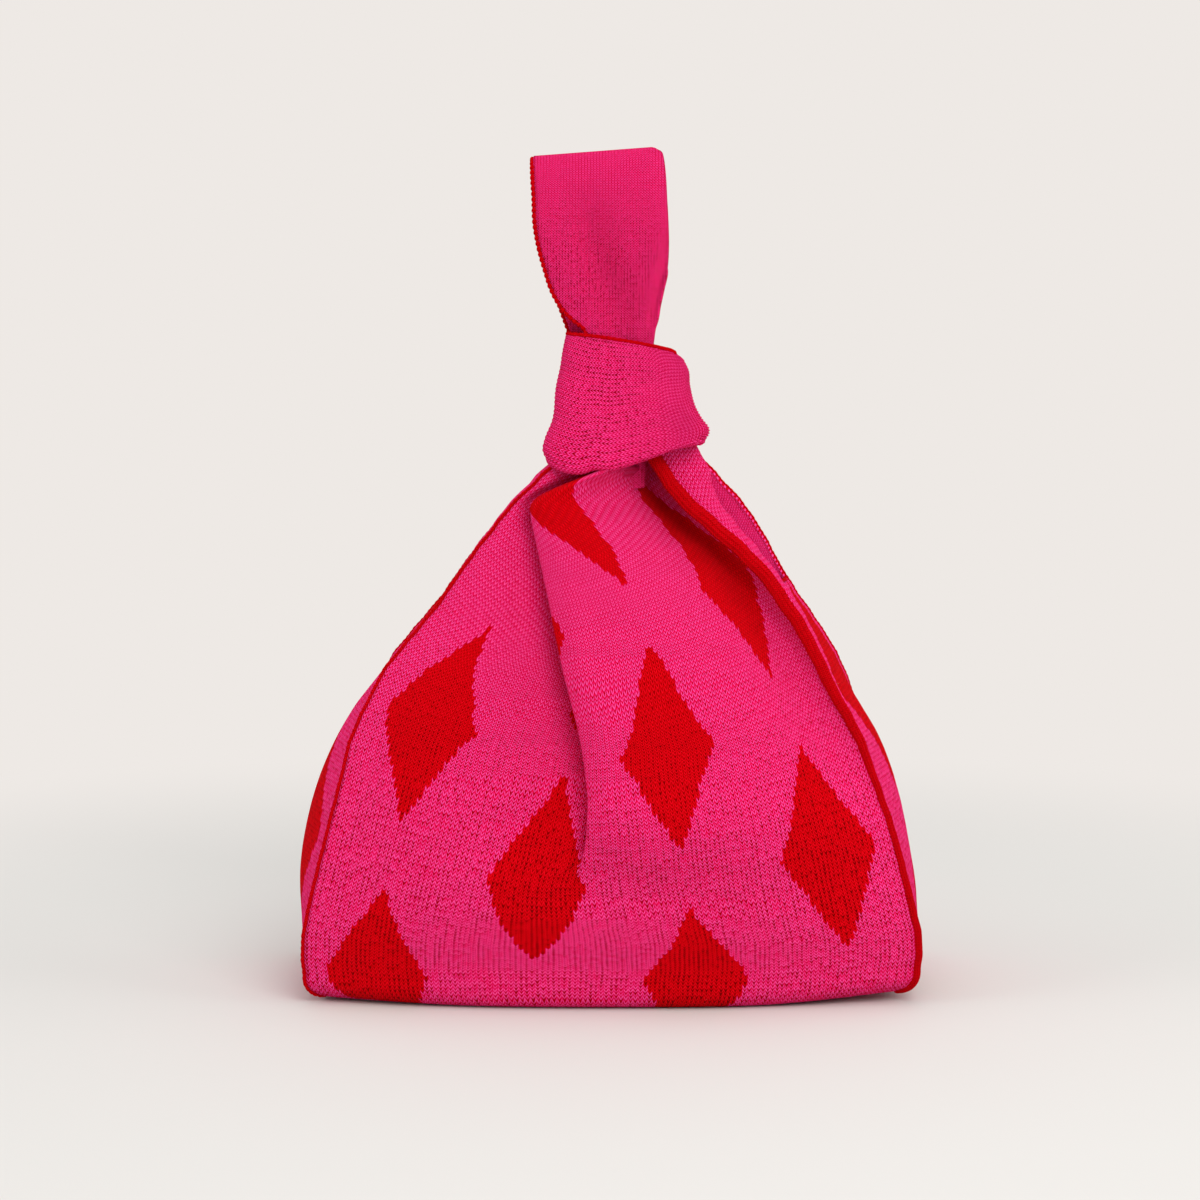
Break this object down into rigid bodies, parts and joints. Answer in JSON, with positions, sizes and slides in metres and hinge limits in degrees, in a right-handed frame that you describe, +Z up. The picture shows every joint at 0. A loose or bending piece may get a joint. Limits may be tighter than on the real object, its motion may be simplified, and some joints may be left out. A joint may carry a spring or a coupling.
{
  "type": "japanese knot bag",
  "caption": "Soft knitted bag with a flat base, gusseted sides, a pleated front and a long handle drawn up through a short one as its closing knot.",
  "frame": {"origin": "on the floor under the middle of the base", "axes": "+X to the right of someone who faces the pleated front, +Y from front to back, +Z up towards the carrying loop"},
  "size_m": [0.294, 0.1498, 0.399],
  "materials": {
    "pink_knit": "soft matt plain knit in hot pink",
    "red_knit": "soft matt plain knit in bright red"
  },
  "bodies": {
    "bag": {"base_panel": "pink_knit", "base_seam": "pink_knit", "front_panel": "pink_knit", "back_panel": "pink_knit", "left_gusset": "pink_knit", "right_gusset": "pink_knit", "front_left_seam": "red_knit", "front_right_seam": "red_knit", "back_left_seam": "red_knit", "back_right_seam": "red_knit", "left_mouth_edging": "red_knit", "right_mouth_edging": "red_knit", "short_handle": "pink_knit", "short_handle_top_edging": "red_knit"},
    "long_handle": {"long_handle_neck": "pink_knit"},
    "carrying_loop": {"carrying_loop": "pink_knit", "carrying_loop_left_edging": "red_knit", "carrying_loop_right_edging": "red_knit"}
  },
  "joints": [
    {"name": "handle_draw", "type": "slide", "parent": "bag", "child": "long_handle", "axis": [0, 0, 1], "range_m": [0, 0.015]},
    {"name": "loop_bend", "type": "hinge", "parent": "long_handle", "child": "carrying_loop", "pos_m": [0, 0, 0.3195], "axis": [1, 0, 0], "range_deg": [-70, 70]}
  ]
}
